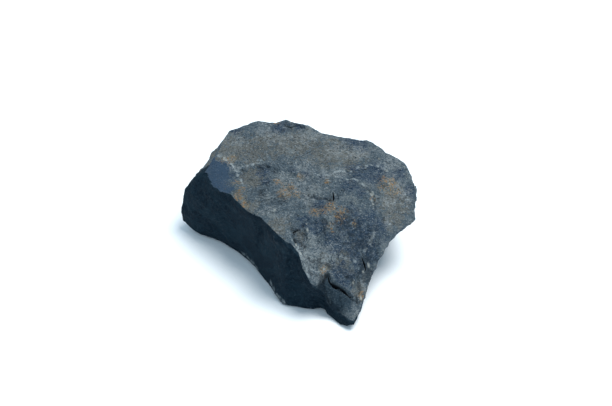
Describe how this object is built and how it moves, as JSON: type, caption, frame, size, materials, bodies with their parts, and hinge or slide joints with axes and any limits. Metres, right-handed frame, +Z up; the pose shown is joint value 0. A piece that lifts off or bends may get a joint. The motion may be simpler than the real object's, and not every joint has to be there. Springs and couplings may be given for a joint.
{
  "type": "lump of coal",
  "caption": "Broken, slaty lump of coal with a low weathered top, a steep fresh break on one side and a tapering spur, lying on a small flat spot.",
  "frame": {"origin": "middle of the footprint's bounding box, on the surface that the lump rests on", "axes": "+X to the right along the lump's longest side, +Y away from the tapering spur, +Z up from the resting spot"},
  "size_m": [0.0896, 0.081, 0.038],
  "materials": {
    "coal": "matte"
  },
  "bodies": {
    "root": {"coal_lump": "coal"}
  },
  "joints": []
}
